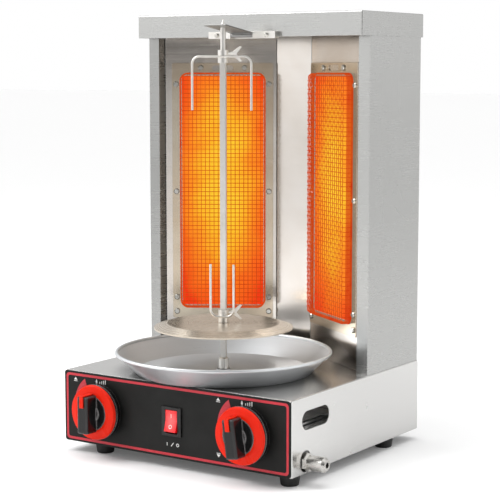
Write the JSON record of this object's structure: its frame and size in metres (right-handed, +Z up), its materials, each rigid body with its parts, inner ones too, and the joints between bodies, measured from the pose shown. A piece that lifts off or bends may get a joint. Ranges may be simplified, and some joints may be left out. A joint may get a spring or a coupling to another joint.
{
  "type": "gas vertical rotisserie oven",
  "caption": "Countertop vertical rotisserie: motor-driven upright skewer over a drip pan, before angled infrared gas burners in a steel cabinet, with gas knobs and a flip-up holder.",
  "frame": {"origin": "on the table plane under the middle of the base box, level with the feet's undersides", "axes": "+X to the right seen from the front, -Y out of the control panel, +Z up"},
  "size_m": [0.326, 0.3139, 0.486],
  "materials": {
    "steel_deck": "brushed stainless sheet, fine grain",
    "steel_brushed": "brushed stainless sheet, horizontal grain",
    "steel_polished": "bright annealed stainless sheet, warm from the heat",
    "steel_spun": "spun stainless, faint turning marks",
    "steel_rod": "bright drawn stainless bar and wire",
    "screw_steel": "nickel plated screws and zinc plated bracket",
    "panel_black": "satin black overlay with a red border line",
    "knob_black": "black moulded plastic, satin",
    "knob_red": "orange red moulded plastic",
    "switch_black": "black moulded plastic",
    "rocker_red": "translucent red plastic",
    "foot_rubber": "black rubber",
    "ceramic_glow": "perforated ceramic tile, glowing orange",
    "wire_guard": "heat tinted steel wire",
    "aluminium_tube": "drawn aluminium",
    "brass_gas": "machined brass",
    "inlet_nickel": "nickel plated, satin",
    "motor_case": "zinc plated gear motor case"
  },
  "bodies": {
    "base": {"back_wall": "steel_brushed", "base_back_panel": "steel_deck", "base_bottom_plate": "steel_deck", "base_housing": "steel_deck", "burner_housing_left": "steel_polished", "burner_housing_right": "steel_polished", "burner_mesh_left": "wire_guard", "burner_mesh_right": "wire_guard", "burner_mixer_left": "aluminium_tube", "burner_mixer_right": "aluminium_tube", "burner_plate_left": "steel_polished", "burner_plate_right": "steel_polished", "burner_screws": "screw_steel", "burner_tiles_left": "ceramic_glow", "burner_tiles_right": "ceramic_glow", "cable_gland": "switch_black", "foot_back_left": "foot_rubber", "foot_back_right": "foot_rubber", "foot_front_left": "foot_rubber", "foot_front_right": "foot_rubber", "foot_screws": "screw_steel", "front_panel": "panel_black", "gas_inlet_fitting": "inlet_nickel", "gas_jets": "brass_gas", "gas_manifold": "aluminium_tube", "gas_valve_left": "brass_gas", "gas_valve_right": "brass_gas", "gear_motor": "motor_case", "holder_bar": "steel_rod", "holder_pin": "steel_rod", "liner_centre": "steel_polished", "liner_left": "steel_polished", "liner_right": "steel_polished", "machine_screws": "screw_steel", "motor_bracket": "screw_steel", "side_wall_left": "steel_brushed", "side_wall_right": "steel_brushed", "supply_tube_left": "aluminium_tube", "supply_tube_right": "aluminium_tube", "switch_body": "switch_black", "top_cap": "steel_brushed"},
    "drip_pan": {"drip_pan": "steel_spun"},
    "spit_drive": {"drive_socket": "steel_rod"},
    "skewer": {"skewer_rod": "steel_rod", "meat_plate": "steel_spun"},
    "lower_fork": {"lower_fork": "steel_rod"},
    "lower_wing": {"lower_wing_screw": "steel_rod"},
    "upper_fork": {"upper_fork": "steel_rod"},
    "upper_wing": {"upper_wing_screw": "steel_rod"},
    "push_left": {"valve_plunger_left": "brass_gas"},
    "turn_left": {"knob_left": "knob_black", "knob_ring_left": "knob_red", "valve_stem_left": "steel_rod"},
    "push_right": {"valve_plunger_right": "brass_gas"},
    "turn_right": {"knob_right": "knob_black", "knob_ring_right": "knob_red", "valve_stem_right": "steel_rod"},
    "rocker": {"switch_rocker": "rocker_red"},
    "flap": {"holder_flap": "steel_rod"}
  },
  "joints": [
    {"name": "pan_lift", "type": "slide", "parent": "base", "child": "drip_pan", "axis": [0, 0, 1], "range_m": [0, 0.025]},
    {"name": "spit_turn", "type": "hinge", "parent": "base", "child": "spit_drive", "pos_m": [0, -0.04, 0.09], "axis": [0, 0, 1], "continuous": true},
    {"name": "skewer_lift", "type": "slide", "parent": "spit_drive", "child": "skewer", "axis": [0, 0, 1], "range_m": [0, 0.011]},
    {"name": "lower_fork_slide", "type": "slide", "parent": "skewer", "child": "lower_fork", "axis": [0, 0, 1], "range_m": [0, 0.06]},
    {"name": "upper_fork_slide", "type": "slide", "parent": "skewer", "child": "upper_fork", "axis": [0, 0, -1], "range_m": [0, 0.14]},
    {"name": "lower_wing_turn", "type": "hinge", "parent": "lower_fork", "child": "lower_wing", "pos_m": [0, -0.04, 0.1563], "axis": [0.5519, 0.8339, 0], "range_deg": [0, 360]},
    {"name": "upper_wing_turn", "type": "hinge", "parent": "upper_fork", "child": "upper_wing", "pos_m": [0, -0.04, 0.441], "axis": [0.5519, 0.8339, 0], "range_deg": [0, 360]},
    {"name": "rocker_tip", "type": "hinge", "parent": "base", "child": "rocker", "pos_m": [0, -0.132, 0.052], "axis": [1, 0, 0], "range_deg": [0, 16]},
    {"name": "holder_flip", "type": "hinge", "parent": "base", "child": "flap", "pos_m": [0, -0.0022, 0.46175], "axis": [-1, 0, 0], "range_deg": [0, 80]},
    {"name": "knob_left_press", "type": "slide", "parent": "base", "child": "push_left", "axis": [0, 1, 0], "range_m": [0, 0.003], "stiffness_N_per_m": 900, "springref_m": -0.002},
    {"name": "knob_left_turn", "type": "hinge", "parent": "push_left", "child": "turn_left", "pos_m": [-0.097, -0.139, 0.052], "axis": [0, -1, 0], "range_deg": [0, 180]},
    {"name": "knob_right_press", "type": "slide", "parent": "base", "child": "push_right", "axis": [0, 1, 0], "range_m": [0, 0.003], "stiffness_N_per_m": 900, "springref_m": -0.002},
    {"name": "knob_right_turn", "type": "hinge", "parent": "push_right", "child": "turn_right", "pos_m": [0.097, -0.139, 0.052], "axis": [0, -1, 0], "range_deg": [-8, 172]}
  ]
}
